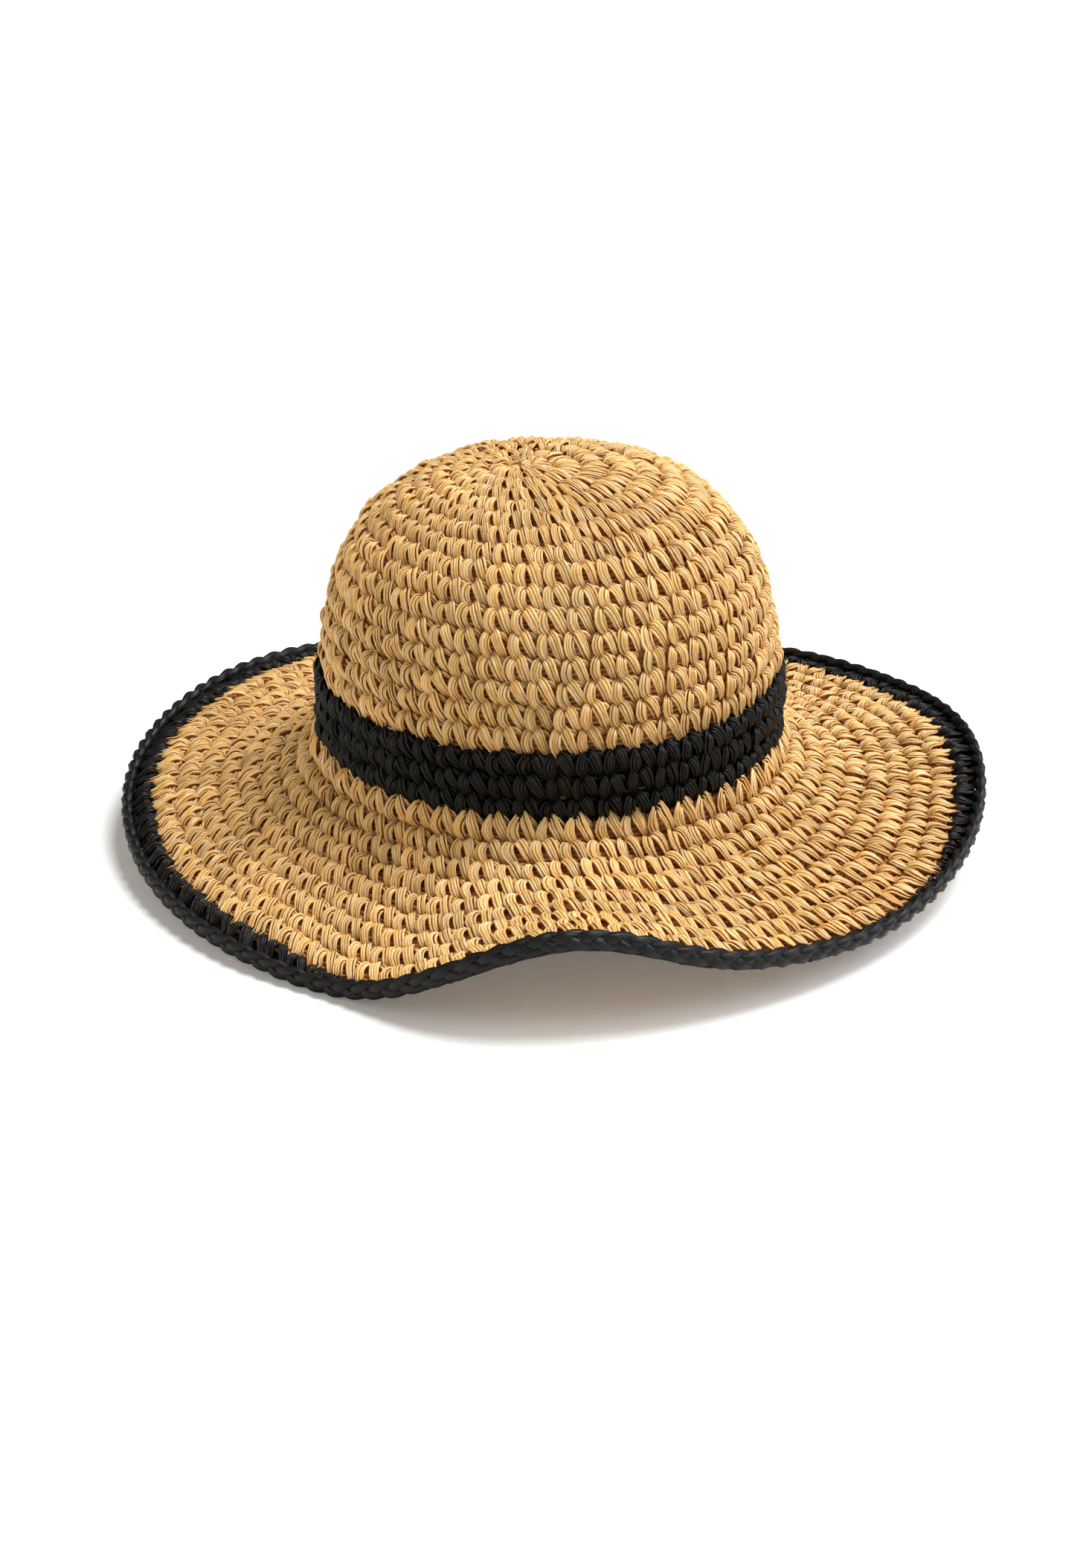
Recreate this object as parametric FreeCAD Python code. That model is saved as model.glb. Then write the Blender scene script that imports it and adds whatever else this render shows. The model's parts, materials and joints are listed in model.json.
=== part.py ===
"""Crocheted paper-straw sun hat, built round by round from the top of the crown.

Frame: millimetres, +Z up along the crown's axis, origin at the middle of the head opening,
level with the lower edge of the black band. The front of the hat faces -Y; seen from the
front, +X is to the right.

The fabric is a middle surface with a thickness. It is measured along the fabric, from the
start of the crochet down to the band's lower edge, then from that edge out across the brim.
Each crochet round is one closed ring of oval section lying in that surface.
"""
import FreeCAD
import Part
import math
import os

# Head, crown and band
head_circumference = 570.0     # measured inside the sweatband
crown_height = 114.5           # start of the crochet above the band's lower edge
band_height = 28.5             # the black band, at the foot of the crown
start_ring_radius = 5.5        # the ring that the first round is worked into
start_hole_radius = 1.2
crown_shift = 12.0             # the start of the crochet sits this far from the axis, towards -X
shift_reach = 90.0             # fabric length over which that shift dies away
crown_round_count = 15
band_round_count = 3

# Shape of the crown's side: slope of the fabric in degrees, 0 is level and 90 is upright
flat_share = 0.07              # share of the dome that stays almost flat on top
flat_rise = 8.0                # how much the top falls away over the dome
shoulder_slope = 84.0          # slope where the dome ends and the side begins

# Brim
brim_width = 81.5              # natural rounds, measured along the fabric
brim_round_count = 9
edge_round_width = 7.5         # the black round outside them
braid_width = 4.8              # the plait round the edge, along the fabric
braid_height = 7.6             # the plait, across the fabric
wire_radius = 0.8
brim_start_slope = 86.0        # slope where the brim leaves the band
brim_end_slope = 14.5          # slope that it relaxes to
brim_relax_length = 20.0       # how quickly it relaxes
wave_growth = 1.26             # how the edge's waves grow across the brim

# Height of the brim's edge below the band's lower edge. Directions are in degrees seen from
# above: 0 is the front (-Y), 90 is +X and 180 is the back.
edge_drop = [
    (2, 5.5), (25, 25.0), (50, 33.0), (75, 26.5), (100, 18.0), (130, 25.0), (155, 31.0),
    (180, 39.0), (205, 29.0), (230, 24.0), (260, 28.0), (290, 37.0), (315, 41.0), (335, 41.5),
]

# Fabric and lining
fabric_thickness = 4.4
round_gap = 0.3                # space between one round and the next
sweatband_thickness = 0.9
sweatband_height = 26.0        # it stands on the level of the band's lower edge
lining_clearance = 0.3         # sweatband to crochet, and wire to plait
stitch_count = 56
stitch_length = 3.0
stitch_thickness = 0.5
stitch_inset = 0.2             # the stitches stay this far outside the head opening

# Fineness of the surfaces
angle_steps = 60
length_steps = 120
section_points = 10
section_fill = 0.05            # fills the corners of a round's oval section a little

head_radius = head_circumference / (2 * math.pi)
fabric_radius = head_radius + sweatband_thickness + lining_clearance + fabric_thickness / 2
brim_length = brim_width + edge_round_width + braid_width / 2     # to the plait's middle


def smooth_step(share):
    share = min(max(share, 0.0), 1.0)
    return share * share * (3 - 2 * share)


def running_length(slopes, length):
    """Points (distance, outward, downward) along a line with the given slopes in degrees."""
    step = length / (len(slopes) - 1)
    points = [(0.0, 0.0, 0.0)]
    for before, after in zip(slopes, slopes[1:]):
        slope = math.radians((before + after) / 2)
        distance, outward, downward = points[-1]
        points.append((distance + step, outward + step * math.cos(slope), downward + step * math.sin(slope)))
    return points


def between(points, distance):
    """The point at a distance along a list of (distance, outward, downward) with even steps."""
    step = points[1][0] - points[0][0]
    index = min(max(int(distance / step), 0), len(points) - 2)
    share = distance / step - index
    return tuple(low + (high - low) * share for low, high in zip(points[index], points[index + 1]))


# ---- Crown: a dome, a side that turns upright, and an upright band ----

def dome_slope(share):
    turn = smooth_step((share - flat_share) / (1 - flat_share))
    return flat_rise * share + (shoulder_slope - flat_rise) * turn


def crown_profile():
    """The crown's line from its start to the band's lower edge, and its length."""
    shares = [i / length_steps for i in range(length_steps + 1)]
    dome = [dome_slope(share) for share in shares]
    side = [shoulder_slope + (90.0 - shoulder_slope) * share for share in shares]
    dome_out, dome_down = running_length(dome, 1.0)[-1][1:]
    side_out, side_down = running_length(side, 1.0)[-1][1:]
    # the dome and the side are as long as the opening's radius and the crown's height ask
    fall = crown_height - band_height
    scale = dome_out * side_down - dome_down * side_out
    dome_length = (fabric_radius * side_down - fall * side_out) / scale
    side_length = (fall * dome_out - fabric_radius * dome_down) / scale
    length = dome_length + side_length + band_height
    slopes = []
    for share in shares:
        distance = share * length
        if distance < dome_length:
            slopes.append(dome_slope(distance / dome_length))
        elif distance < dome_length + side_length:
            slopes.append(shoulder_slope + (90.0 - shoulder_slope) * (distance - dome_length) / side_length)
        else:
            slopes.append(90.0)
    return running_length(slopes, length), length


crown_line, crown_length = crown_profile()


def height_on_dome(radius):
    """Height of the crown's surface at a distance from the axis, on its upper part."""
    for low, high in zip(crown_line, crown_line[1:]):
        if high[1] >= radius:
            share = (radius - low[1]) / (high[1] - low[1])
            return crown_height - (low[2] + (high[2] - low[2]) * share)
    return crown_height - crown_line[-1][2]


def crown_point(distance, direction):
    """A point of the crown's middle surface."""
    radius, fall = between(crown_line, distance)[1:]
    shift = crown_shift * (1 - smooth_step(distance / shift_reach))
    x = radius * math.sin(direction) - shift
    y = -radius * math.cos(direction)
    height = crown_height - fall if distance >= shift_reach else height_on_dome(math.hypot(x, y))
    return FreeCAD.Vector(x, y, height)


# ---- Brim: it relaxes outwards and its edge waves up and down ----

def edge_height(direction):
    """Height of the brim's edge in a direction, smooth all the way round."""
    degrees = math.degrees(direction) % 360
    count = len(edge_drop)
    index = max((i for i in range(count) if edge_drop[i][0] <= degrees), default=-1)
    around = [edge_drop[(index + i) % count] for i in (-1, 0, 1, 2)]
    angles = [point[0] + 360 * ((index + i) // count) for i, point in zip((-1, 0, 1, 2), around)]
    drops = [point[1] for point in around]
    gap = angles[2] - angles[1]
    share = (degrees - angles[1]) / gap
    rise_in = (drops[2] - drops[0]) / (angles[2] - angles[0]) * gap
    rise_out = (drops[3] - drops[1]) / (angles[3] - angles[1]) * gap
    square, cube = share ** 2, share ** 3
    return -(drops[1] * (2 * cube - 3 * square + 1) + rise_in * (cube - 2 * square + share)
             + drops[2] * (3 * square - 2 * cube) + rise_out * (cube - square))


def brim_slope(share):
    relaxed = math.exp(-share * brim_length / brim_relax_length)
    return brim_end_slope + (brim_start_slope - brim_end_slope) * relaxed


plain_brim = running_length([brim_slope(i / length_steps) for i in range(length_steps + 1)], brim_length)


def brim_line(direction):
    """The brim's line outwards in one direction. Its length along the fabric never changes."""
    wave = edge_height(direction) + plain_brim[-1][2]
    step = brim_length / length_steps
    points = [(0.0, fabric_radius, 0.0)]
    for distance, _, fall in plain_brim[1:]:
        drop = fall - wave * (distance / brim_length) ** wave_growth
        rise = min(abs(drop - points[-1][2]), step)
        points.append((distance, points[-1][1] + math.sqrt(step ** 2 - rise ** 2), drop))
    return points


brim_lines = [brim_line(2 * math.pi * i / angle_steps) for i in range(angle_steps)]


def brim_point(distance, direction):
    """A point of the brim's middle surface. A little past the edge it runs straight on."""
    line = brim_lines[round(direction / (2 * math.pi) * angle_steps) % angle_steps]
    radius, fall = between(line, distance)[1:]
    return FreeCAD.Vector(radius * math.sin(direction), -radius * math.cos(direction), -fall)


# ---- Rings that follow the fabric ----

def ring_solid(surface, distance, half_width, half_height, fill=0.0):
    """A closed ring of oval section that spans the surface around a distance along the fabric.

    half_width lies along the fabric and half_height across it. fill rounds the oval out.
    """
    pull = 3 / (2 + math.cos(2 * math.pi / section_points))    # poles lie outside the curve
    pull_round = 3 / (2 + math.cos(2 * math.pi / angle_steps))
    poles = []
    for i in range(angle_steps):
        direction = 2 * math.pi * i / angle_steps
        inner = surface(distance - half_width, direction)
        outer = surface(distance + half_width, direction)
        centre = (inner + outer) / 2
        reach = (outer - inner).Length / 2
        along = (outer - inner).normalize()
        side = FreeCAD.Vector(math.cos(direction), math.sin(direction), 0)
        across = side.cross(along).normalize()
        row = []
        for j in range(section_points):
            turn = 2 * math.pi * j / section_points
            size = pull * (1 + fill * math.sin(2 * turn) ** 2)
            point = (centre + along * (reach * size * math.cos(turn))
                     + across * (half_height * size * math.sin(turn)))
            row.append(FreeCAD.Vector(point.x * pull_round, point.y * pull_round, point.z))
        poles.append(row)
    skin = Part.BSplineSurface()
    skin.buildFromPolesMultsKnots(
        poles,
        [1] * (angle_steps + 1), [1] * (section_points + 1),
        [i / angle_steps for i in range(angle_steps + 1)],
        [j / section_points for j in range(section_points + 1)],
        True, True, 3, 3)
    solid = Part.Solid(Part.Shell([skin.toShape()]))
    if solid.Volume < 0:
        solid.reverse()
    return solid


def crochet_round(surface, start, end):
    """One round of stitches between two distances along the fabric."""
    half_width = (end - start - round_gap) / 2
    return ring_solid(surface, (start + end) / 2, half_width, fabric_thickness / 2, section_fill)


# ---- The hat's pieces ----

def crown_start():
    return crochet_round(crown_point, start_hole_radius, start_ring_radius)


def crown_rounds():
    pitch = (crown_length - band_height - start_ring_radius) / crown_round_count
    starts = [start_ring_radius + pitch * i for i in range(crown_round_count)]
    return [crochet_round(crown_point, start, start + pitch) for start in starts]


def band_rounds():
    pitch = band_height / band_round_count
    starts = [crown_length - band_height + pitch * i for i in range(band_round_count)]
    return [crochet_round(crown_point, start, start + pitch) for start in starts]


def brim_rounds():
    pitch = brim_width / brim_round_count
    return [crochet_round(brim_point, pitch * i, pitch * (i + 1)) for i in range(brim_round_count)]


def edge_round():
    return crochet_round(brim_point, brim_width, brim_width + edge_round_width)


def edge_braid():
    """The plait round the edge, hollow where it is worked over the wire."""
    plait = ring_solid(brim_point, brim_length, braid_width / 2 - round_gap, braid_height / 2, section_fill)
    core_radius = wire_radius + lining_clearance
    return plait.cut(ring_solid(brim_point, brim_length, core_radius, core_radius)).Solids[0]


def brim_wire():
    return ring_solid(brim_point, brim_length, wire_radius, wire_radius)


def sweatband():
    """A ribbon round the inside of the band. Its inner face is the head opening."""
    outside = Part.makeCylinder(head_radius + sweatband_thickness, sweatband_height)
    return outside.cut(Part.makeCylinder(head_radius, sweatband_height))


def sweatband_stitches():
    """Overcast stitches along the ribbon's lower edge, tying it to the lowest black round."""
    inner = head_radius + stitch_inset
    depth = sweatband_thickness + lining_clearance - stitch_inset
    stitch = Part.makeBox(depth, stitch_length, stitch_thickness)
    stitch.translate(FreeCAD.Vector(inner, -stitch_length / 2, -stitch_thickness))
    stitches = []
    for i in range(stitch_count):
        turned = stitch.copy()
        turned.rotate(FreeCAD.Vector(0, 0, 0), FreeCAD.Vector(0, 0, 1), 360.0 * i / stitch_count)
        stitches.append(turned)
    return Part.makeCompound(stitches)


def numbered(name, solids, digits):
    return {f"{name}_{i:0{digits}d}": solid for i, solid in enumerate(solids, start=1)}


def build():
    pieces = {"crown_start": crown_start()}
    pieces.update(numbered("crown_round", crown_rounds(), 2))
    pieces.update(numbered("band_round", band_rounds(), 1))
    pieces.update(numbered("brim_round", brim_rounds(), 1))
    pieces["edge_round"] = edge_round()
    pieces["edge_braid"] = edge_braid()
    pieces["brim_wire"] = brim_wire()
    pieces["sweatband"] = sweatband()
    pieces["sweatband_stitches"] = sweatband_stitches()
    os.makedirs("parts", exist_ok=True)
    for name, shape in pieces.items():
        shape.exportStep(f"parts/{name}.step")
        box = shape.BoundBox
        print(f"{name:22s} valid={shape.isValid()} volume={shape.Volume:9.1f} "
              f"z {box.ZMin:7.2f} to {box.ZMax:7.2f}  x {box.XMin:7.1f} to {box.XMax:6.1f}")


build()
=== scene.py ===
import json
import math

import bpy
import numpy as np
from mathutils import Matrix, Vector


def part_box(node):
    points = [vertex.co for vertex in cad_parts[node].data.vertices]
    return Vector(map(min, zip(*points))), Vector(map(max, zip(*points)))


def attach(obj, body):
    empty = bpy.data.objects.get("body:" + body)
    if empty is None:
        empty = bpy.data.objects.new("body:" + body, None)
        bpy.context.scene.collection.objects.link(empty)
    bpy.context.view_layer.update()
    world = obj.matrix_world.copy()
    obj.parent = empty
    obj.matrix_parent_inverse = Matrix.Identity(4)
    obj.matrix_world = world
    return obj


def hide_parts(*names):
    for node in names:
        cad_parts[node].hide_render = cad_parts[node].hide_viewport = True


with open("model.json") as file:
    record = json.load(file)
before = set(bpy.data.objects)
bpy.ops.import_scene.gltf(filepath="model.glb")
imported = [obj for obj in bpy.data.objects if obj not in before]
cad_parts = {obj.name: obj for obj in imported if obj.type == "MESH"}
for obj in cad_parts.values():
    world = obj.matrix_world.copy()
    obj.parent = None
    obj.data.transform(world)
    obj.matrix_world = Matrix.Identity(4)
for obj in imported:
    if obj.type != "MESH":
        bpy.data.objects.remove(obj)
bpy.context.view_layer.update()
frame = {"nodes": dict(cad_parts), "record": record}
bpy.ops.object.select_all(action="DESELECT")
nodes = frame["nodes"]
mm = 0.001
fullTurn = 2 * math.pi
print("frame loaded,", len(nodes), "pieces")


camera = {
    "distance": 1.5,            # from the middle of the head opening
    "elevation": 24.0,
    "sensor": 36.0, "lens": 83.254,
    "shift": (-0.00427, -0.037),
    "nearest": 0.05, "farthest": 30.0,
}


def addCamera():
    tilt = math.radians(camera["elevation"])
    away = camera["distance"]
    bpy.ops.object.camera_add(location=(0, -away * math.cos(tilt), away * math.sin(tilt)),
                              rotation=(math.pi / 2 - tilt, 0, 0))
    shot = bpy.context.object
    shot.name = "shotCamera"
    shot.data.sensor_width = camera["sensor"]
    shot.data.lens = camera["lens"]
    shot.data.shift_x, shot.data.shift_y = camera["shift"]
    shot.data.clip_start = camera["nearest"]
    shot.data.clip_end = camera["farthest"]
    bpy.context.scene.camera = shot


addCamera()
print("camera placed")


# the rounds in the order in which they are worked, from the crown's start to the edge
crownRounds = ["crown_start"] + [f"crown_round_{i:02d}" for i in range(1, 16)]
bandRounds = [f"band_round_{i}" for i in range(1, 4)]
brimRounds = [f"brim_round_{i}" for i in range(1, 10)]
roundOrder = crownRounds + bandRounds + brimRounds + ["edge_round", "edge_braid"]
sectionSteps = 72    # sections read round each ring
waveLimit = 18       # finest wave round the hat that is kept


def vertexPlaces(mesh):
    flat = np.zeros(len(mesh.vertices) * 3)
    mesh.vertices.foreach_get("co", flat)
    return flat.reshape(-1, 3)


def sectionMiddles(name):
    # the middle of the ring's section, at even steps round it, starting at the front
    mesh = nodes[name].data
    points = vertexPlaces(mesh)
    ends = np.zeros(len(mesh.edges) * 2, int)
    mesh.edges.foreach_get("vertices", ends)
    ends = ends.reshape(-1, 2)
    centre = (points.min(0) + points.max(0)) / 2
    flat = points[:, :2] - centre[:2]
    heights = points[:, 2]
    middles = []
    for step in range(sectionSteps):
        turn = fullTurn * step / sectionSteps
        outward = flat @ (math.sin(turn), -math.cos(turn))
        sideways = flat @ (math.cos(turn), math.sin(turn))
        first, second = ends.T
        cut = (sideways[first] * sideways[second] < 0) & (outward[first] > 0)
        first, second = first[cut], second[cut]
        share = sideways[first] / (sideways[first] - sideways[second])
        reach = outward[first] + (outward[second] - outward[first]) * share
        level = heights[first] + (heights[second] - heights[first]) * share
        around = np.argsort(np.arctan2(level - level.mean(), reach - reach.mean()))
        reach, level = reach[around], level[around]
        nextReach, nextLevel = np.roll(reach, -1), np.roll(level, -1)
        cross = reach * nextLevel - nextReach * level
        area = cross.sum() / 2
        middleReach = ((reach + nextReach) * cross).sum() / (6 * area)
        middleLevel = ((level + nextLevel) * cross).sum() / (6 * area)
        middles.append((centre[0] + middleReach * math.sin(turn),
                        centre[1] - middleReach * math.cos(turn), middleLevel))
    return np.array(middles)


def atTurns(middles, turns):
    # the ring's line at any turns, as a smooth sum of waves
    waves = np.fft.rfft(middles, axis=0)[:waveLimit]
    counts = np.arange(waveLimit)
    weights = np.where(counts == 0, 1.0, 2.0)[:, None] * waves / sectionSteps
    phases = np.exp(1j * np.outer(turns, counts))
    return (phases @ weights).real


ringMiddles = {name: sectionMiddles(name) for name in roundOrder}
print("rounds read")


# at the front and front right the outer rounds lie further out and hide the round inside the edge
turnedUnder = {
    "from": -46.0, "full": -20.0, "fullTo": 56.0, "to": 86.0,       # degrees from the front
    "brim": 0.85, "edge": 0.6,                                      # shares of the way to the next round
    "sink": 2.2, "shrink": 0.6, "shortFeet": 0.75, "backStretch": 0.3,
}


def underShare(turns):
    degrees = (np.degrees(turns) + 180) % 360 - 180
    places = [turnedUnder[key] for key in ("from", "full", "fullTo", "to")]
    share = np.interp(degrees, places, [0, 1, 1, 0])
    return share * share * (3 - 2 * share)


def movedOut(name, turns):
    # how far a round moves towards the next one, as a share of the distance between them
    if name == "edge_round":
        return turnedUnder["edge"] * underShare(turns)
    if name.startswith("brim"):
        return turnedUnder["brim"] * underShare(turns) * (int(name[-1]) / len(brimRounds)) ** 2
    return 0 * turns


def fabricAt(name, turns):
    # middle, direction to the crown's start, outward normal and half height of a round
    index = roundOrder.index(name)
    here = atTurns(ringMiddles[name], turns)
    if index == 0:
        below = atTurns(ringMiddles[roundOrder[1]], turns)
        towards = here - below
        span = np.linalg.norm(towards, axis=1)
    elif index == len(roundOrder) - 1:
        above = atTurns(ringMiddles[roundOrder[index - 1]], turns)
        towards = above - here
        span = np.linalg.norm(towards, axis=1)
    else:
        above = atTurns(ringMiddles[roundOrder[index - 1]], turns)
        below = atTurns(ringMiddles[roundOrder[index + 1]], turns)
        towards = above - below
        span = np.linalg.norm(towards, axis=1) / 2
        here = here + (below - here) * movedOut(name, turns)[:, None]
    nearby = 0.01        # radians
    sideways = atTurns(ringMiddles[name], turns + nearby) - atTurns(ringMiddles[name], turns - nearby)
    sideways /= np.linalg.norm(sideways, axis=1)[:, None]
    towards /= np.linalg.norm(towards, axis=1)[:, None]
    normal = np.cross(sideways, towards)
    normal /= np.linalg.norm(normal, axis=1)[:, None]
    towards = np.cross(normal, sideways)
    return here, sideways, towards, normal, span


def ringLength(name):
    line = ringMiddles[name]
    return np.linalg.norm(np.roll(line, -1, axis=0) - line, axis=1).sum()


def newMaterial(name):
    material = bpy.data.materials.new(name)
    material.use_nodes = True
    material.node_tree.nodes.clear()
    return material, material.node_tree.nodes, material.node_tree.links


def addNode(tree, kind, **values):
    node = tree.new(kind)
    for key, value in values.items():
        if key in node.inputs:
            node.inputs[key].default_value = value
        else:
            setattr(node, key, value)
    return node


def colourRamp(tree, stops):
    ramp = tree.new("ShaderNodeValToRGB")
    elements = ramp.color_ramp.elements
    while len(elements) < len(stops):
        elements.new(0.5)
    for element, (place, colour) in zip(elements, stops):
        element.position = place
        element.color = (*colour, 1)
    return ramp


def mapRange(tree, low=0.0, high=1.0, toLow=0.0, toHigh=1.0):
    node = addNode(tree, "ShaderNodeMapRange")
    for socket, value in zip(("From Min", "From Max", "To Min", "To Max"), (low, high, toLow, toHigh)):
        node.inputs[socket].default_value = value
    return node


def tinted(tree, tint):
    # what comes in at A, multiplied by the tint
    node = addNode(tree, "ShaderNodeMix", data_type="RGBA", blend_type="MULTIPLY")
    node.inputs["B"].default_value = (*tint, 1)
    return node


# grain that both yarns share, on places in millimetres along and across a strand
yarnGrain = {
    "stretch": (0.22, 2.6, 2.6), "detail": 3.0, "coarseness": 0.6, "bumpDepth": 0.0004,
    # where the painted shade in the grooves sets in, and the patches that vary its strength
    "grooveFrom": 0.10, "grooveTo": 0.62,
    "patchScale": 0.45, "patchFrom": 0.35, "patchTo": 0.55, "patchLeast": 0.45,
}


def yarnMaterial(name, looks):
    # twisted paper straw: pale plies and fine fibres along the yarn, with painted shade darkening the
    # grooves between plies and the inside of the fabric
    material, tree, links = newMaterial(name)
    output = addNode(tree, "ShaderNodeOutputMaterial")
    shader = addNode(tree, "ShaderNodeBsdfPrincipled", Roughness=looks["roughness"])
    lay = addNode(tree, "ShaderNodeAttribute", attribute_name="yarnLay")
    shadeAndPaleness = addNode(tree, "ShaderNodeAttribute", attribute_name="yarnShadeAndPaleness")
    # red: painted shade in the grooves, green: painted shade inside the fabric, blue: paleness that differs
    # at random
    parts = addNode(tree, "ShaderNodeSeparateColor")    # red: groove, green: depth, blue: paleness
    links.new(shadeAndPaleness.outputs["Color"], parts.inputs["Color"])
    stretch = addNode(tree, "ShaderNodeMapping", Scale=yarnGrain["stretch"])
    links.new(lay.outputs["Vector"], stretch.inputs["Vector"])
    fibres = addNode(tree, "ShaderNodeTexNoise", Scale=1.0, Detail=yarnGrain["detail"],
                     Roughness=yarnGrain["coarseness"])
    links.new(stretch.outputs["Vector"], fibres.inputs["Vector"])
    ramp = colourRamp(tree, looks["fibreStops"])
    links.new(fibres.outputs["Fac"], ramp.inputs["Fac"])
    # painted shade: the grooves between the plies and the inner sides of the strands are tinted darker and
    # warmer, in patches of differing strength
    sharpen = mapRange(tree, yarnGrain["grooveFrom"], yarnGrain["grooveTo"])
    sharpen.interpolation_type = "SMOOTHSTEP"
    links.new(parts.outputs["Red"], sharpen.inputs["Value"])
    patches = addNode(tree, "ShaderNodeTexNoise", Scale=yarnGrain["patchScale"], Detail=1.0)
    links.new(lay.outputs["Vector"], patches.inputs["Vector"])
    patchRange = mapRange(tree, yarnGrain["patchFrom"], yarnGrain["patchTo"], yarnGrain["patchLeast"])
    links.new(patches.outputs["Fac"], patchRange.inputs["Value"])
    grooveShadeAmount = addNode(tree, "ShaderNodeMath", operation="MULTIPLY")
    links.new(sharpen.outputs["Result"], grooveShadeAmount.inputs[0])
    links.new(patchRange.outputs["Result"], grooveShadeAmount.inputs[1])
    grooveShade = tinted(tree, looks["paintedGrooveShadeTint"])
    links.new(grooveShadeAmount.outputs["Value"], grooveShade.inputs["Factor"])
    links.new(ramp.outputs["Color"], grooveShade.inputs["A"])
    # painted shade too: what lies inside the fabric is tinted darker
    insideShadeMix = tinted(tree, looks["paintedShadeTint"])
    links.new(parts.outputs["Green"], insideShadeMix.inputs["Factor"])
    links.new(grooveShade.outputs["Result"], insideShadeMix.inputs["A"])
    # the shine is turned down with the same painted shade, shiny on top and dull down between the strands
    gloss = mapRange(tree, toLow=looks["shine"], toHigh=0.0)
    links.new(parts.outputs["Green"], gloss.inputs["Value"])
    links.new(gloss.outputs["Result"], shader.inputs["Specular IOR Level"])
    # no two stitches are equally pale
    shade = addNode(tree, "ShaderNodeHueSaturation")
    brighten = mapRange(tree, toLow=1 - looks["toneSpread"], toHigh=1 + looks["toneSpread"])
    links.new(parts.outputs["Blue"], brighten.inputs["Value"])
    links.new(brighten.outputs["Result"], shade.inputs["Value"])
    links.new(insideShadeMix.outputs["Result"], shade.inputs["Color"])
    links.new(shade.outputs["Color"], shader.inputs["Base Color"])
    bump = addNode(tree, "ShaderNodeBump", Strength=looks["bump"], Distance=yarnGrain["bumpDepth"])
    links.new(fibres.outputs["Fac"], bump.inputs["Height"])
    links.new(bump.outputs["Normal"], shader.inputs["Normal"])
    if looks["lightThrough"] == 0:
        links.new(shader.outputs["BSDF"], output.inputs["Surface"])
        return material
    # thin paper lets some light through, warmer than what it reflects
    through = addNode(tree, "ShaderNodeBsdfTranslucent", Color=(*looks["throughColour"], 1))
    blend = addNode(tree, "ShaderNodeMixShader", Fac=looks["lightThrough"])
    links.new(shader.outputs["BSDF"], blend.inputs[1])
    links.new(through.outputs["BSDF"], blend.inputs[2])
    links.new(blend.outputs["Shader"], output.inputs["Surface"])
    return material


naturalLooks = {
    "roughness": 0.42, "shine": 0.5, "bump": 0.9, "toneSpread": 0.22,
    "fibreStops": [(0.28, (0.76, 0.36, 0.055)), (0.48, (0.95, 0.578, 0.165)), (0.64, (1.0, 0.86, 0.54))],
    # painted shade tints: darker, warmer colour for the grooves between plies and for what lies inside the
    # fabric
    "paintedGrooveShadeTint": (0.44, 0.17, 0.02), "paintedShadeTint": (0.43, 0.175, 0.02),
    "lightThrough": 0.18, "throughColour": (0.90, 0.50, 0.15),
}
blackLooks = {
    "roughness": 0.42, "shine": 0.27, "bump": 0.8, "toneSpread": 0.3,
    "fibreStops": [(0.25, (0.003, 0.003, 0.0027)), (0.6, (0.006, 0.006, 0.0054)),
                   (0.8, (0.015, 0.0146, 0.0135))],
    # painted shade tints for the black yarn's grooves and for what lies inside its fabric
    "paintedGrooveShadeTint": (0.35, 0.35, 0.35), "paintedShadeTint": (0.4, 0.4, 0.4),
    "lightThrough": 0.0,
}
naturalYarn = yarnMaterial("naturalPaperStraw", naturalLooks)
blackYarn = yarnMaterial("blackPaperStraw", blackLooks)


# in millimetres: x along the round, y towards the crown's start, z out of the fabric
stitchShape = {
    "pitch": 11.0, "height": 9.6, "lean": 0.14, "sides": 5,
    "earlyPitch": 8.3, "earlyRounds": 8,        # the first rounds have smaller stitches
    "fewest": 5, "grainStep": (5, 7, 0), "backGrooveShade": 0.6,
    # each bundle: strands, strand radius, rings, then its line as x, y, z, half width, half thickness
    "leaf": (4, 0.64, 9, [(-0.6, 5.0, -1.0, 1.0, 0.3), (-1.6, 5.1, 0.9, 1.8, 0.6),
                          (-2.6, 3.6, 1.9, 2.1, 0.8), (-3.2, 1.2, 1.8, 2.2, 0.9),
                          (-2.8, -1.4, 1.0, 2.0, 0.8), (-1.5, -3.8, -0.2, 1.5, 0.5),
                          (-0.2, -6.0, -1.6, 1.0, 0.2)]),
    "leg": (4, 0.63, 9, [(0.6, 5.8, -1.1, 1.4, 0.4), (1.5, 5.5, 1.0, 2.2, 0.7), (2.2, 3.8, 2.1, 2.3, 0.9),
                         (2.9, 1.4, 2.0, 2.1, 1.0), (3.6, -1.2, 1.2, 2.0, 0.8), (4.5, -3.9, -0.2, 1.7, 0.5),
                         (5.4, -6.2, -1.6, 1.1, 0.2)]),
    "hook": (2, 0.66, 6, [(2.6, 5.0, 0.2, 0.8, 0.3), (4.1, 4.9, 0.9, 1.0, 0.3), (5.4, 4.0, 0.8, 1.0, 0.3),
                          (6.3, 2.5, 0.1, 0.8, 0.2), (6.7, 1.0, -0.9, 0.5, 0.1)]),
    "topLoop": (2, 0.95, 4, [(-6.1, 4.6, -0.9, 0.8, 0.3), (-3.0, 5.4, -0.5, 0.9, 0.3),
                             (0.0, 4.8, -0.8, 0.8, 0.3), (3.0, 4.2, -0.5, 0.9, 0.3),
                             (6.1, 4.8, -0.9, 0.8, 0.3)]),
    "backBar": (5, 1.42, 4, [(-6.3, -0.8, -1.2, 4.6, 0.0), (-3.0, 0.3, -0.9, 5.0, 0.0),
                             (0.0, 0.4, -1.1, 5.0, 0.0), (3.0, -0.2, -0.9, 5.0, 0.0),
                             (6.3, -1.4, -1.2, 4.6, 0.0)]),
}
thinnest = 0.55     # share of its radius that a strand keeps where its bundle is drawn together


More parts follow.
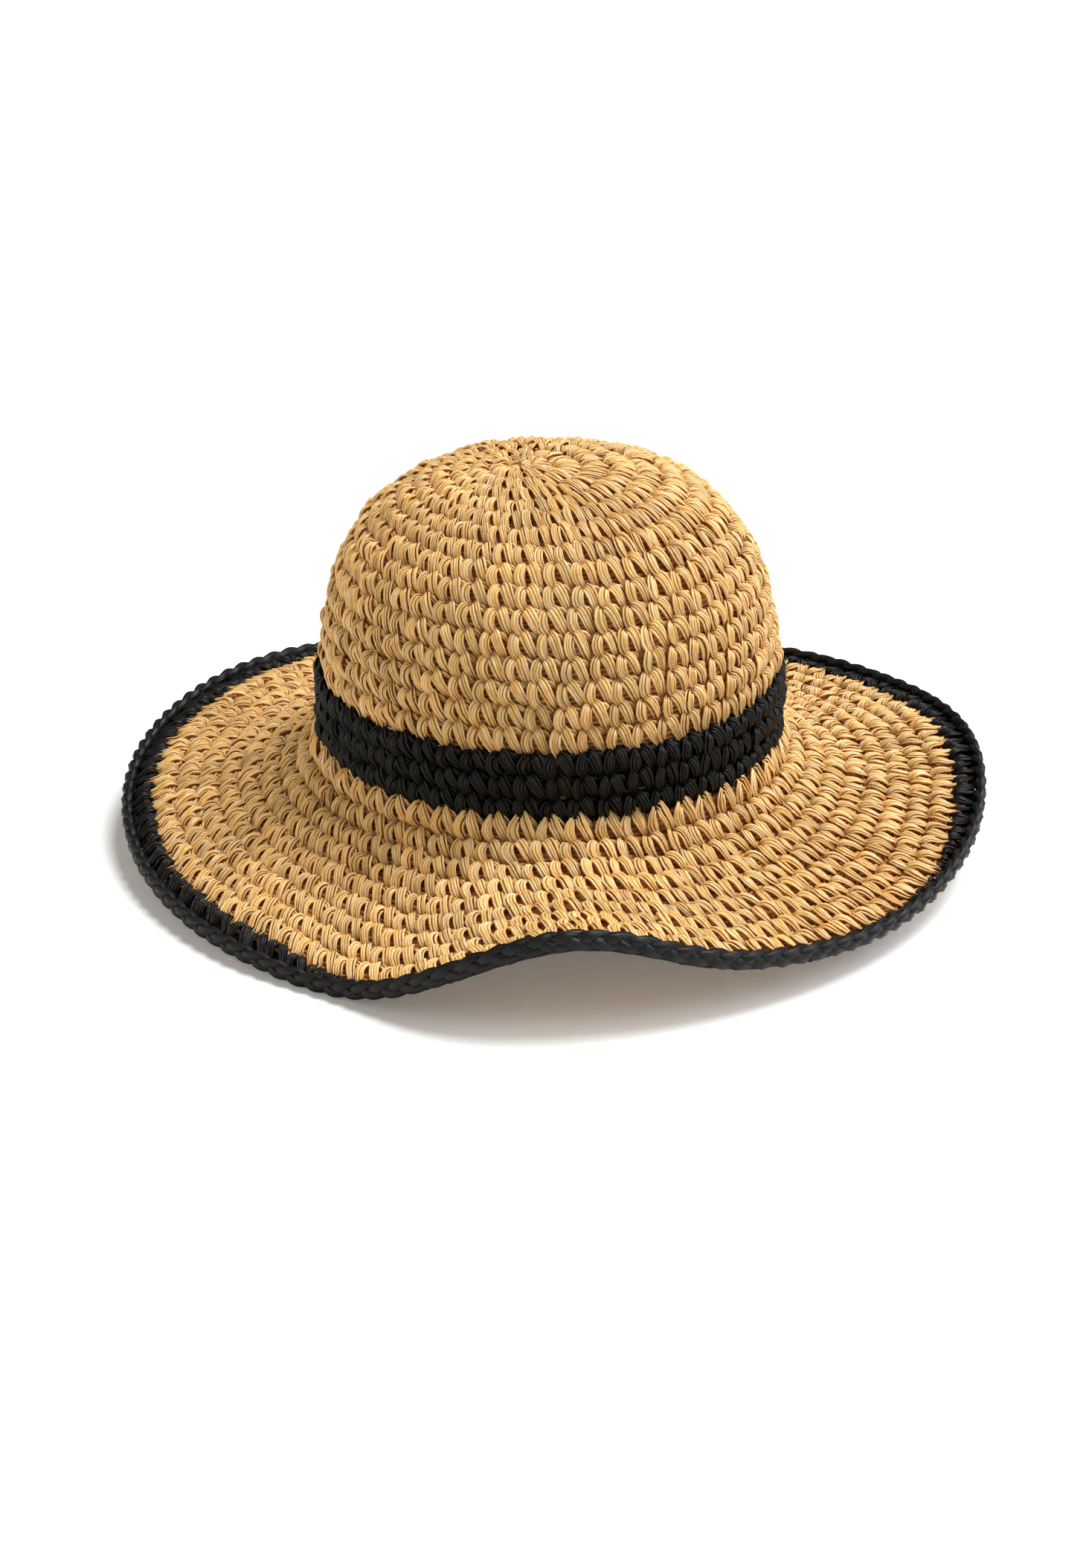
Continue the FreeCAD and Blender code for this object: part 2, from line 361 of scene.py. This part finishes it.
def modelStrand(name, sides, rings):
    # a straight closed strand, extruded ring by ring from a filled circle
    bpy.ops.object.select_all(action="DESELECT")
    bpy.ops.mesh.primitive_circle_add(vertices=sides, radius=1, fill_type="NGON", location=(0, 0, 0))
    strand = bpy.context.object
    strand.name = name
    bpy.ops.object.mode_set(mode="EDIT")
    bpy.ops.mesh.select_all(action="SELECT")
    for _ in range(rings - 1):
        bpy.ops.mesh.extrude_region_move(TRANSFORM_OT_translate={"value": (0, 0, 1)})
    bpy.ops.mesh.select_all(action="SELECT")
    bpy.ops.mesh.normals_make_consistent(inside=False)
    bpy.ops.object.mode_set(mode="OBJECT")
    return strand


def smoothLine(line, count):
    # a smooth curve through the points, read at even steps
    line = np.array(line, float)
    last = len(line) - 1
    padded = np.vstack([2 * line[0] - line[1], line, 2 * line[-1] - line[-2]])
    places = np.linspace(0, last, count)
    start = np.minimum(places.astype(int), last - 1)
    t = (places - start)[:, None]
    before, first, second, after = (padded[start + i] for i in range(4))
    return first + 0.5 * t * (second - before + t * (2 * before - 5 * first + 4 * second - after
                                                     + t * (3 * (first - second) + after - before)))


def layAlong(straight, line, aside, radius):
    # moves each ring of a straight strand to its place on the line, beside the line's middle
    ring = np.rint(straight[:, 2]).astype(int)
    middles, sizes = line[:, :3], line[:, 3:]
    along = np.gradient(middles, axis=0)
    along /= np.linalg.norm(along, axis=1)[:, None]
    across = np.cross(np.broadcast_to((0.0, 0.0, 1.0), along.shape), along)
    across /= np.linalg.norm(across, axis=1)[:, None]
    outward = np.cross(along, across)
    middles = middles + across * (sizes[:, 0] * aside)[:, None]
    middles = middles + outward * (sizes[:, 1] * math.sqrt(1 - aside ** 2))[:, None]
    thin = np.clip(sizes[:, 0] / sizes[:, 0].max(), thinnest, 1)
    spread = ((across[ring] * straight[:, :1] + outward[ring] * straight[:, 1:2])
              * (radius * thin[ring])[:, None])
    distance = np.concatenate([[0], np.cumsum(np.linalg.norm(np.diff(middles, axis=0), axis=1))])
    lay = np.stack([distance[ring], straight[:, 0] * radius, straight[:, 1] * radius], axis=1)
    # painted shade mask: the side of each strand that faces into the fabric is marked for darkening
    grooveShade = 0.5 - 0.5 * straight[:, 1]
    return middles[ring], spread, across[ring], lay, grooveShade


def meshFaces(obj):
    return [tuple(face.vertices) for face in obj.data.polygons]


def modelStitch(shape):
    # all strands of one stitch as one set of points, each with its strand's middle and its spread
    columns, faces = [], []
    offset = number = 0
    for bundle in ("leaf", "leg", "hook", "topLoop", "backBar"):
        strands, radius, rings, points = shape[bundle]
        strand = modelStrand(bundle, shape["sides"], rings)
        straight, strandFaces = vertexPlaces(strand.data), meshFaces(strand)
        line = smoothLine(points, rings)
        back = bundle == "backBar"
        front = bundle in ("leaf", "leg", "hook")
        # strands lie side by side, the outer ones just inside the bundle's width
        for aside in np.linspace(-1, 1, strands) * (1 - 1 / (strands + 0.5)):
            middle, spread, across, lay, grooveShade = layAlong(straight, line, aside, radius)
            if back:
                # the back bars are marked for painted shade along both their sides
                grooveShade = shape["backGrooveShade"] * (1 - np.abs(straight[:, 1]))     # seen from inside too
            count = len(middle)
            grain = [number * step for step in shape["grainStep"]]
            columns.append((middle, spread, across, lay + grain, grooveShade,
                            np.full(count, number), np.full(count, front), np.full(count, back)))
            faces += [tuple(corner + offset for corner in face) for face in strandFaces]
            offset += count
            number += 1
        bpy.data.objects.remove(strand)
    names = ("middle", "spread", "across", "lay", "grooveShade", "strand", "front", "back")
    made = {key: np.concatenate(values) for key, values in zip(names, zip(*columns))}
    made["faces"] = faces
    made["strands"] = number
    return made


stitch = modelStitch(stitchShape)
print("one stitch modelled,", len(stitch["faces"]), "faces")


roundLooks = {
    # how stitches differ by chance: as shares, in radians and in millimetres
    "seed": 11, "sizeJitter": 0.06, "bulgeJitter": 0.12, "thickJitter": 0.10, "leanJitter": 0.07,
    "moveJitter": 0.35, "asideJitter": 0.14, "proudJitter": 0.20,
    "paleJitter": 0.14, "strandPaleJitter": 0.2, "grainShift": 37.0,
    # how much of the full width the back of the stitches has, so that some holes go right through
    "backWidth": {"band": 0.42, "edge": 1.1, "crown": 1.0, "brim": 1.08},
    # how far the stitches are drawn in towards the head, and the lowest that their back then goes
    "drawnIn": {"band": 0.7, "edge": 0.0, "crown": 2.7, "brim": 0.1},
    "backLimit": {"band": -2.4, "edge": -2.4, "crown": -4.0, "brim": -2.4},
    # heights between which painted shade sets in inside the fabric, from the front and from the back
    "paintedShadeFront": (1.9, -0.9), "paintedShadeBack": (-2.2, -1.1),
    # where colours meet, feet hang down into the next round or tops stand up into the one before
    "longFeet": {"crown_round_15": 2.4, "brim_round_9": 2.6, "edge_round": 1.5},
    "longTops": {"brim_round_1": 2.4},
    "footSpan": (-2.5, -6.0), "legFrom": 1.0, "footTip": 7.2, "footPull": 0.7,
    "footSwell": 0.10, "footProud": 1.1,
    "topSpan": (3.0, 5.5), "topTip": 0.6, "topPull": 0.4, "topProud": 0.6,
    # from one round to the next the stitches start a little further back, in radians
    "startStep": -0.012, "scatteredStarts": 9,
}
chance = np.random.default_rng(roundLooks["seed"])


def buildMesh(name, points, faces, material):
    mesh = bpy.data.meshes.new(name)
    mesh.from_pydata(points, [], faces)
    mesh.update()
    mesh.polygons.foreach_set("use_smooth", np.ones(len(mesh.polygons), bool))
    mesh.materials.append(material)
    piece = bpy.data.objects.new(name, mesh)
    bpy.context.scene.collection.objects.link(piece)
    return piece


def addGrain(piece, lay, shadeAndPaleness):
    # lay is a point's place along and across its yarn; the second attribute holds painted shade in the
    # grooves, painted shade inside the fabric and paleness
    layAttribute = piece.data.attributes.new("yarnLay", "FLOAT_VECTOR", "POINT")
    layAttribute.data.foreach_set("vector", lay.ravel())
    shadeAndPalenessAttribute = piece.data.attributes.new("yarnShadeAndPaleness", "FLOAT_COLOR", "POINT")
    shadeAndPalenessAttribute.data.foreach_set("color", shadeAndPaleness.ravel())


def shareFrom(values, none, full):
    # 0 at one value and 1 at the other, even in between
    return np.clip((values - none) / (full - none), 0, 1)


def variedStitch(name, kind, turn):
    # one stitch in millimetres, with its own size, lean and place, the painted shade inside its fabric and
    # its paleness
    looks, pitch = roundLooks, stitchShape["pitch"]
    wobble = chance.normal(size=8).clip(-2, 2)
    thick, aside, proud, pale = chance.normal(size=(4, stitch["strands"])).clip(-2, 2)[:, stitch["strand"]]
    front = stitch["front"]
    middle = stitch["middle"] + stitch["across"] * (front * looks["asideJitter"] * aside)[:, None]
    middle[:, 2] += front * looks["proudJitter"] * proud
    stretch = 1 + turnedUnder["backStretch"] * movedOut(name, turn)
    middle[:, 1] *= np.where(stitch["back"], looks["backWidth"][kind] * stretch, 1.0)
    foot = front * shareFrom(middle[:, 1], *looks["footSpan"])
    top = front * shareFrom(middle[:, 1], *looks["topSpan"])
    longFoot, longTop = foot * looks["longFeet"].get(name, 0), top * looks["longTops"].get(name, 0)
    if kind != "crown":
        longFoot = longFoot * (1 - turnedUnder["shortFeet"] * underShare(turn))
    thickness = (1 + looks["thickJitter"] * thick) * (1 + looks["footSwell"] * longFoot)
    local = (middle + stitch["spread"] * thickness[:, None]) * (1 + looks["sizeJitter"] * wobble[0:3])
    lean = stitchShape["lean"] + looks["leanJitter"] * wobble[3]
    bulge = 1 + looks["bulgeJitter"] * wobble[4]
    x, y, z = local.T
    local = np.stack([x * math.cos(lean) - y * math.sin(lean) + looks["moveJitter"] * wobble[5],
                      x * math.sin(lean) + y * math.cos(lean) + looks["moveJitter"] * wobble[6],
                      np.where(z > 0, z * bulge, z)], axis=1)
    # painted shade: strongest partway into the fabric, fading towards its front and its back
    depth = shareFrom(local[:, 2], *looks["paintedShadeFront"]) * shareFrom(local[:, 2], *looks["paintedShadeBack"])
    local[:, 2] = np.maximum(local[:, 2] - looks["drawnIn"][kind], looks["backLimit"][kind])
    local[:, 1] += longTop - longFoot
    # a leg's foot and the foot of the next stitch's leaf run together in one tip
    if name in looks["longFeet"]:
        tip = looks["footTip"] + wobble[5] - np.where(local[:, 0] > looks["legFrom"], 0, pitch)
        local[:, 0] += (tip - local[:, 0]) * foot * looks["footPull"]
    if name in looks["longTops"]:
        local[:, 0] += (looks["topTip"] - local[:, 0]) * top * looks["topPull"]
    local[:, 2] += longTop * looks["topProud"] + longFoot * looks["footProud"]
    paleness = 0.5 + looks["paleJitter"] * wobble[7] + looks["strandPaleJitter"] * pale
    return local, depth, np.clip(paleness, 0, 1)


def crochetRound(name, pieceName, material, startTurn):
    early = roundOrder.index(name) < stitchShape["earlyRounds"]
    pitch = stitchShape["earlyPitch"] if early else stitchShape["pitch"]
    count = max(stitchShape["fewest"], round(ringLength(name) / (pitch * mm)))
    total = len(stitch["middle"])
    kind = name.split("_")[0]
    points, shadesAndPaleness, lays, faces = [], [], [], []
    for index in range(count):
        local, depth, paleness = variedStitch(name, kind, startTurn + fullTurn * index / count)
        # x becomes a turn round the hat, y and z go along and out of the fabric
        turns = startTurn + fullTurn * (index + local[:, 0] / stitchShape["pitch"]) / count
        if name == "edge_round":
            local[:, 1] *= 1 - turnedUnder["shrink"] * underShare(turns)
            local[:, 2] -= turnedUnder["sink"] * underShare(turns)
        here, _, towards, normal, span = fabricAt(name, turns)
        points.append(here + towards * (local[:, 1] * span / stitchShape["height"])[:, None]
                      + normal * (local[:, 2] * mm)[:, None])
        # painted shade in the grooves and inside the fabric, and paleness at random
        shadesAndPaleness.append(np.stack([stitch["grooveShade"], depth, paleness, np.ones(total)], axis=1))
        lays.append(stitch["lay"] + (index * roundLooks["grainShift"], 0, 0))
        faces += [tuple(corner + index * total for corner in face) for face in stitch["faces"]]
    piece = buildMesh(pieceName, np.concatenate(points), faces, material)
    addGrain(piece, np.concatenate(lays), np.concatenate(shadesAndPaleness))
    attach(piece, "root")
    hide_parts(name)


for index, name in enumerate(roundOrder[:-1]):
    black = name.startswith("band") or name.startswith("edge")
    scattered = index < roundLooks["scatteredStarts"]
    crochetRound(name,
                 "crown_stitches_start" if index == 0 else name.replace("round", "stitches"),
                 blackYarn if black else naturalYarn,
                 chance.random() if scattered else roundLooks["startStep"] * index)
print("rounds of stitches made")


# three flattened strands, each of seven plies, in millimetres
plaitShape = {
    "period": 28.0, "steps": 20, "plies": 7, "grooveDepth": 0.80, "twists": 12,
    "rise": 1.75, "sway": 1.0, "halfWidth": 2.45, "halfThickness": 1.65,
    "grainRadius": 176.0, "grainAcross": 1.6, "grainStep": 9.0, "toneSwing": 0.4, "toneRate": 0.37,
}


def plaitStrandLine(name, turns, phase):
    # the middle of a strand as it weaves from side to side, and the two ways across it
    here, _, towards, normal, _ = fabricAt(name, turns)
    line = (here + normal * (plaitShape["rise"] * mm * np.sin(phase))[:, None]
            - towards * (plaitShape["sway"] * mm * np.sin(2 * phase))[:, None])
    along = np.roll(line, -1, axis=0) - np.roll(line, 1, axis=0)
    along /= np.linalg.norm(along, axis=1)[:, None]
    across = np.cross(-towards, along)
    across /= np.linalg.norm(across, axis=1)[:, None]
    return line, across, np.cross(along, across)


def edgePlait():
    name = "edge_braid"
    periods = round(ringLength(name) / (plaitShape["period"] * mm))
    steps = periods * plaitShape["steps"]
    turns = fullTurn * np.arange(steps) / steps
    corners = plaitShape["plies"] * 2
    section = fullTurn * np.arange(corners) / corners
    lobes = np.where(np.arange(corners) % 2 == 1, plaitShape["grooveDepth"], 1.0) * mm
    points, shadesAndPaleness, lays, faces = [], [], [], []
    for strand in range(3):
        phase = periods * turns + fullTurn * strand / 3
        line, across, outward = plaitStrandLine(name, turns, phase)
        paleness = 0.5 + plaitShape["toneSwing"] * np.sin(phase * plaitShape["toneRate"])
        for corner in range(corners):
            angle = section[corner] + plaitShape["twists"] * turns
            wide = np.cos(angle) * lobes[corner] * plaitShape["halfWidth"]
            thick = np.sin(angle) * lobes[corner] * plaitShape["halfThickness"]
            points.append(line + across * wide[:, None] + outward * thick[:, None])
            # painted shade at every second corner, the indented ones between the plies, none inside, and
            # paleness along the strand
            shadesAndPaleness.append(np.stack([np.full(steps, corner % 2 * 1.0), np.zeros(steps),
                                   paleness, np.ones(steps)], axis=1))
            layAcross = (math.cos(section[corner]) * plaitShape["grainAcross"]
                         + strand * plaitShape["grainStep"])
            layOut = math.sin(section[corner]) * plaitShape["grainAcross"]
            lays.append(np.stack([turns * plaitShape["grainRadius"], np.full(steps, layAcross),
                                  np.full(steps, layOut)], axis=1))
        base = strand * corners * steps
        for corner in range(corners):
            other = (corner + 1) % corners
            for step in range(steps):
                following = (step + 1) % steps
                faces.append((base + corner * steps + step, base + other * steps + step,
                              base + other * steps + following, base + corner * steps + following))
    piece = buildMesh("edge_plait", np.concatenate(points), faces, blackYarn)
    addGrain(piece, np.concatenate(lays), np.concatenate(shadesAndPaleness))
    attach(piece, "root")
    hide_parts(name)


edgePlait()
print("plait made")


ribbonShape = {"ribs": 1.1, "segments": 180, "edgeRound": 0.25, "smoothBelow": 50.0}
ribbonLooks = {
    "roughness": 0.7, "sheen": 0.25, "ribScale": 0.29, "ribWaver": 0.3, "weaveScale": 1.6, "ribShare": 0.6,
    "stops": [(0.2, (0.36, 0.22, 0.09)), (0.8, (0.62, 0.42, 0.21))], "bump": 0.6, "bumpDepth": 0.0003,
}
threadShape = {
    "sides": 6, "rings": 8, "radius": 0.3, "count": 56,
    # x along the ribbon, y up, z outwards from the head opening, half width, half thickness
    "line": [(-1.5, 2.2, 0.1, 1, 0), (-1.2, 1.6, -0.2, 1, 0), (-0.6, 0.5, -0.25, 1, 0),
             (0.0, -0.3, 0.1, 1, 0), (0.5, -0.35, 0.8, 1, 0), (1.0, -0.1, 1.4, 1, 0)],
}


def ribbonMaterial():
    material, tree, links = newMaterial("ribbedRibbon")
    output = addNode(tree, "ShaderNodeOutputMaterial")
    shader = addNode(tree, "ShaderNodeBsdfPrincipled", Roughness=ribbonLooks["roughness"])
    shader.inputs["Sheen Weight"].default_value = ribbonLooks["sheen"]
    place = addNode(tree, "ShaderNodeAttribute", attribute_name="yarnLay")
    ribs = addNode(tree, "ShaderNodeTexWave", Scale=ribbonLooks["ribScale"],
                   Distortion=ribbonLooks["ribWaver"], Detail=1.0)
    ribs.bands_direction = "X"
    links.new(place.outputs["Vector"], ribs.inputs["Vector"])
    weave = addNode(tree, "ShaderNodeTexNoise", Scale=ribbonLooks["weaveScale"], Detail=4.0)
    links.new(place.outputs["Vector"], weave.inputs["Vector"])
    ramp = colourRamp(tree, ribbonLooks["stops"])
    blend = addNode(tree, "ShaderNodeMath", operation="MULTIPLY_ADD")
    blend.inputs[1].default_value = ribbonLooks["ribShare"]
    links.new(ribs.outputs["Fac"], blend.inputs[0])
    links.new(weave.outputs["Fac"], blend.inputs[2])
    links.new(blend.outputs["Value"], ramp.inputs["Fac"])
    links.new(ramp.outputs["Color"], shader.inputs["Base Color"])
    bump = addNode(tree, "ShaderNodeBump", Strength=ribbonLooks["bump"], Distance=ribbonLooks["bumpDepth"])
    links.new(ribs.outputs["Fac"], bump.inputs["Height"])
    links.new(bump.outputs["Normal"], shader.inputs["Normal"])
    links.new(shader.outputs["BSDF"], output.inputs["Surface"])
    return material


threadLooks = {
    "roughness": 0.55, "twistScale": 900.0,
    "stops": [(0.3, (0.50, 0.37, 0.20)), (0.7, (0.74, 0.60, 0.38))],
}
wireLooks = {
    "scratchScale": 700.0, "stops": [(0.3, (0.42, 0.42, 0.44)), (0.7, (0.60, 0.60, 0.62))],
    "smoothest": 0.25, "roughest": 0.45,
}


def threadMaterial():
    material, tree, links = newMaterial("sewingThread")
    output = addNode(tree, "ShaderNodeOutputMaterial")
    shader = addNode(tree, "ShaderNodeBsdfPrincipled", Roughness=threadLooks["roughness"])
    place = addNode(tree, "ShaderNodeTexCoord")
    twist = addNode(tree, "ShaderNodeTexNoise", Scale=threadLooks["twistScale"], Detail=2.0)
    links.new(place.outputs["Object"], twist.inputs["Vector"])
    ramp = colourRamp(tree, threadLooks["stops"])
    links.new(twist.outputs["Fac"], ramp.inputs["Fac"])
    links.new(ramp.outputs["Color"], shader.inputs["Base Color"])
    links.new(shader.outputs["BSDF"], output.inputs["Surface"])
    return material


def wireMaterial():
    material, tree, links = newMaterial("drawnWire")
    output = addNode(tree, "ShaderNodeOutputMaterial")
    shader = addNode(tree, "ShaderNodeBsdfPrincipled", Metallic=1.0)
    place = addNode(tree, "ShaderNodeTexCoord")
    scratches = addNode(tree, "ShaderNodeTexNoise", Scale=wireLooks["scratchScale"], Detail=3.0)
    links.new(place.outputs["Object"], scratches.inputs["Vector"])
    ramp = colourRamp(tree, wireLooks["stops"])
    links.new(scratches.outputs["Fac"], ramp.inputs["Fac"])
    links.new(ramp.outputs["Color"], shader.inputs["Base Color"])
    rough = mapRange(tree, toLow=wireLooks["smoothest"], toHigh=wireLooks["roughest"])
    links.new(scratches.outputs["Fac"], rough.inputs["Value"])
    links.new(rough.outputs["Result"], shader.inputs["Roughness"])
    links.new(shader.outputs["BSDF"], output.inputs["Surface"])
    return material


def sweatbandRibbon():
    low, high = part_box("sweatband")
    outer = (high[0] - low[0]) / 2
    opening = next(mount for mount in frame["record"]["mounts"] if mount["name"] == "head_opening")
    inner = opening["dims"]["r_mm"] * mm
    bpy.ops.object.select_all(action="DESELECT")
    bpy.ops.mesh.primitive_cylinder_add(vertices=ribbonShape["segments"], radius=outer,
                                        depth=high[2] - low[2], end_fill_type="NOTHING",
                                        location=(0, 0, (low[2] + high[2]) / 2))
    ribbon = bpy.context.object
    ribbon.name = "sweatband_ribbon"
    bpy.ops.object.transform_apply(location=True)
    bpy.ops.object.modifier_add(type="SOLIDIFY")
    ribbon.modifiers[-1].thickness = outer - inner
    ribbon.modifiers[-1].offset = -1
    bpy.ops.object.modifier_apply(modifier=ribbon.modifiers[-1].name)
    bpy.ops.object.modifier_add(type="BEVEL")
    ribbon.modifiers[-1].width = ribbonShape["edgeRound"] * mm
    ribbon.modifiers[-1].segments = 2
    ribbon.modifiers[-1].limit_method = "ANGLE"
    bpy.ops.object.modifier_apply(modifier=ribbon.modifiers[-1].name)
    bpy.ops.object.shade_smooth_by_angle(angle=math.radians(ribbonShape["smoothBelow"]))
    x, y, z = vertexPlaces(ribbon.data).T
    # along the ribbon in millimetres; it starts at the back, where the two ends meet
    around = np.arctan2(x, y) * outer / mm
    lay = np.stack([around / ribbonShape["ribs"], z / mm, np.hypot(x, y) / mm], axis=1)
    attribute = ribbon.data.attributes.new("yarnLay", "FLOAT_VECTOR", "POINT")
    attribute.data.foreach_set("vector", lay.ravel())
    ribbon.data.materials.append(ribbonMaterial())
    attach(ribbon, "root")
    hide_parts("sweatband")
    return inner


def sweatbandStitches(inner):
    strand = modelStrand("thread", threadShape["sides"], threadShape["rings"])
    line = smoothLine(threadShape["line"], threadShape["rings"])
    middle, spread, _, _, _ = layAlong(vertexPlaces(strand.data), line, 0, threadShape["radius"])
    shape, faces = middle + spread, meshFaces(strand)
    bpy.data.objects.remove(strand)
    count = threadShape["count"]
    points, allFaces = [], []
    for index in range(count):
        turn = fullTurn * index / count + shape[:, 0] * mm / inner
        radius = inner + shape[:, 2] * mm
        points.append(np.stack([np.sin(turn) * radius, -np.cos(turn) * radius, shape[:, 1] * mm], axis=1))
        allFaces += [tuple(corner + index * len(shape) for corner in face) for face in faces]
    piece = buildMesh("sweatband_thread", np.concatenate(points), allFaces, threadMaterial())
    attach(piece, "root")
    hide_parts("sweatband_stitches")


headRadius = sweatbandRibbon()
sweatbandStitches(headRadius)
wire = nodes["brim_wire"]
wire.data.materials.clear()
wire.data.materials.append(wireMaterial())
print("ribbon, stitches and wire made")


# lamps shine from their place towards the hat; angles are their width as seen from it
light = {
    "keyFrom": (0.48, 0.16, 1.25), "keyStrength": 3.1, "keyAngle": 26.0, "keyColour": (1, 1, 1),
    "sideFrom": (1.0, 0.0, 0.8), "sideStrength": 1.95, "sideAngle": 45.0, "sideColour": (0.98, 1.0, 1.03),
    "fillFrom": (-1.0, -0.35, 0.5), "fillStrength": 1.08, "fillAngle": 60.0, "fillColour": (1.0, 0.88, 0.68),
    "world": 0.20, "floorSize": 40.0, "floorColour": 0.84, "floorLift": 0.12,
}


def addStage():
    low = min(vertex.co.z for vertex in bpy.data.objects["edge_plait"].data.vertices)
    bpy.ops.mesh.primitive_plane_add(size=light["floorSize"], location=(0, 0, low))
    floor = bpy.context.object
    floor.name = "floor"
    material, tree, links = newMaterial("paleFloor")
    output = addNode(tree, "ShaderNodeOutputMaterial")
    paint = addNode(tree, "ShaderNodeBsdfDiffuse", Color=(*[light["floorColour"]] * 3, 1))
    glow = addNode(tree, "ShaderNodeEmission")
    both = addNode(tree, "ShaderNodeAddShader")
    links.new(paint.outputs[0], both.inputs[0])
    links.new(glow.outputs[0], both.inputs[1])
    path = addNode(tree, "ShaderNodeLightPath")
    lift = addNode(tree, "ShaderNodeMath", operation="MULTIPLY")
    lift.inputs[1].default_value = light["floorLift"]
    links.new(path.outputs["Is Camera Ray"], lift.inputs[0])
    links.new(lift.outputs[0], glow.inputs["Strength"])
    links.new(both.outputs[0], output.inputs["Surface"])
    floor.data.materials.append(material)


def addWorld():
    # white where the camera looks past the floor, dimmer as a light
    world = bpy.data.worlds.new("studio")
    bpy.context.scene.world = world
    world.use_nodes = True
    tree, links = world.node_tree.nodes, world.node_tree.links
    tree.clear()
    output = addNode(tree, "ShaderNodeOutputWorld")
    background = addNode(tree, "ShaderNodeBackground", Color=(1, 1, 1, 1))
    rays = addNode(tree, "ShaderNodeLightPath")
    strength = mapRange(tree, toLow=light["world"], toHigh=1.0)
    links.new(rays.outputs["Is Camera Ray"], strength.inputs["Value"])
    links.new(strength.outputs["Result"], background.inputs["Strength"])
    links.new(background.outputs[0], output.inputs["Surface"])


def addSun(name, place, strength, angle, colour):
    bpy.ops.object.light_add(type="SUN", location=place)
    sun = bpy.context.object
    sun.name = name
    sun.data.energy = strength
    sun.data.color = colour
    sun.data.angle = math.radians(angle)
    sun.rotation_euler = (-Vector(place)).to_track_quat("-Z", "Y").to_euler()


addStage()
addWorld()
for sunName in ("key", "side", "fill"):
    addSun(sunName + "Sun", *(light[sunName + part] for part in ("From", "Strength", "Angle", "Colour")))
bpy.context.scene.view_settings.view_transform = "Standard"
print("stage and lamps placed")
